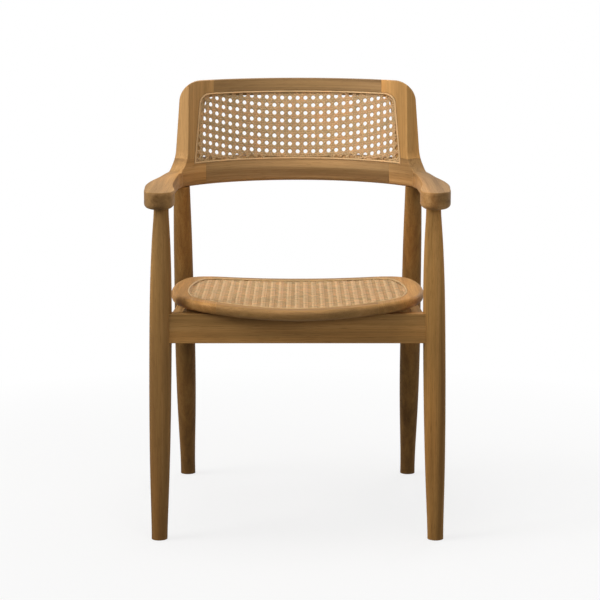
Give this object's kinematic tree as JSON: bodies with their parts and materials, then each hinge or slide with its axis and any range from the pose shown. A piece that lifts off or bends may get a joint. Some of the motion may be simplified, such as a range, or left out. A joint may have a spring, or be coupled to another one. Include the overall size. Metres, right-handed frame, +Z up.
{
  "type": "outdoor chair",
  "caption": "Wooden armchair with turned splayed legs, a bent bow of arms and back, and woven cane in the dished seat and the leaning curved back.",
  "frame": {"origin": "on the floor under the middle of the chair's bounding box", "axes": "+X to the right as seen from the front, +Y to the back, +Z up"},
  "size_m": [0.5692, 0.582, 0.842],
  "materials": {
    "teak": "oiled, low gloss",
    "dowel": "raw turned wood",
    "cane": "woven cane strands, satin",
    "spline": "round reed, satin",
    "screw": "zinc plated",
    "glide": "matte"
  },
  "bodies": {
    "root": {"front_leg_left": "teak", "front_leg_right": "teak", "rear_leg_left": "teak", "rear_leg_right": "teak", "front_apron": "teak", "rear_rail": "teak", "side_rail_left": "teak", "side_rail_right": "teak", "fixing_blocks": "teak", "seat_front_member": "teak", "seat_rear_member": "teak", "seat_side_left": "teak", "seat_side_right": "teak", "arm_left": "teak", "arm_right": "teak", "back_lower_rail": "teak", "back_stile_left": "teak", "back_stile_right": "teak", "crest_rail": "teak", "seat_frame_dowels": "dowel", "back_frame_dowels": "dowel", "seat_cane": "cane", "back_cane": "cane", "seat_spline": "spline", "back_spline": "spline", "seat_screws": "screw", "block_screws": "screw", "foot_glides": "glide"}
  },
  "joints": []
}
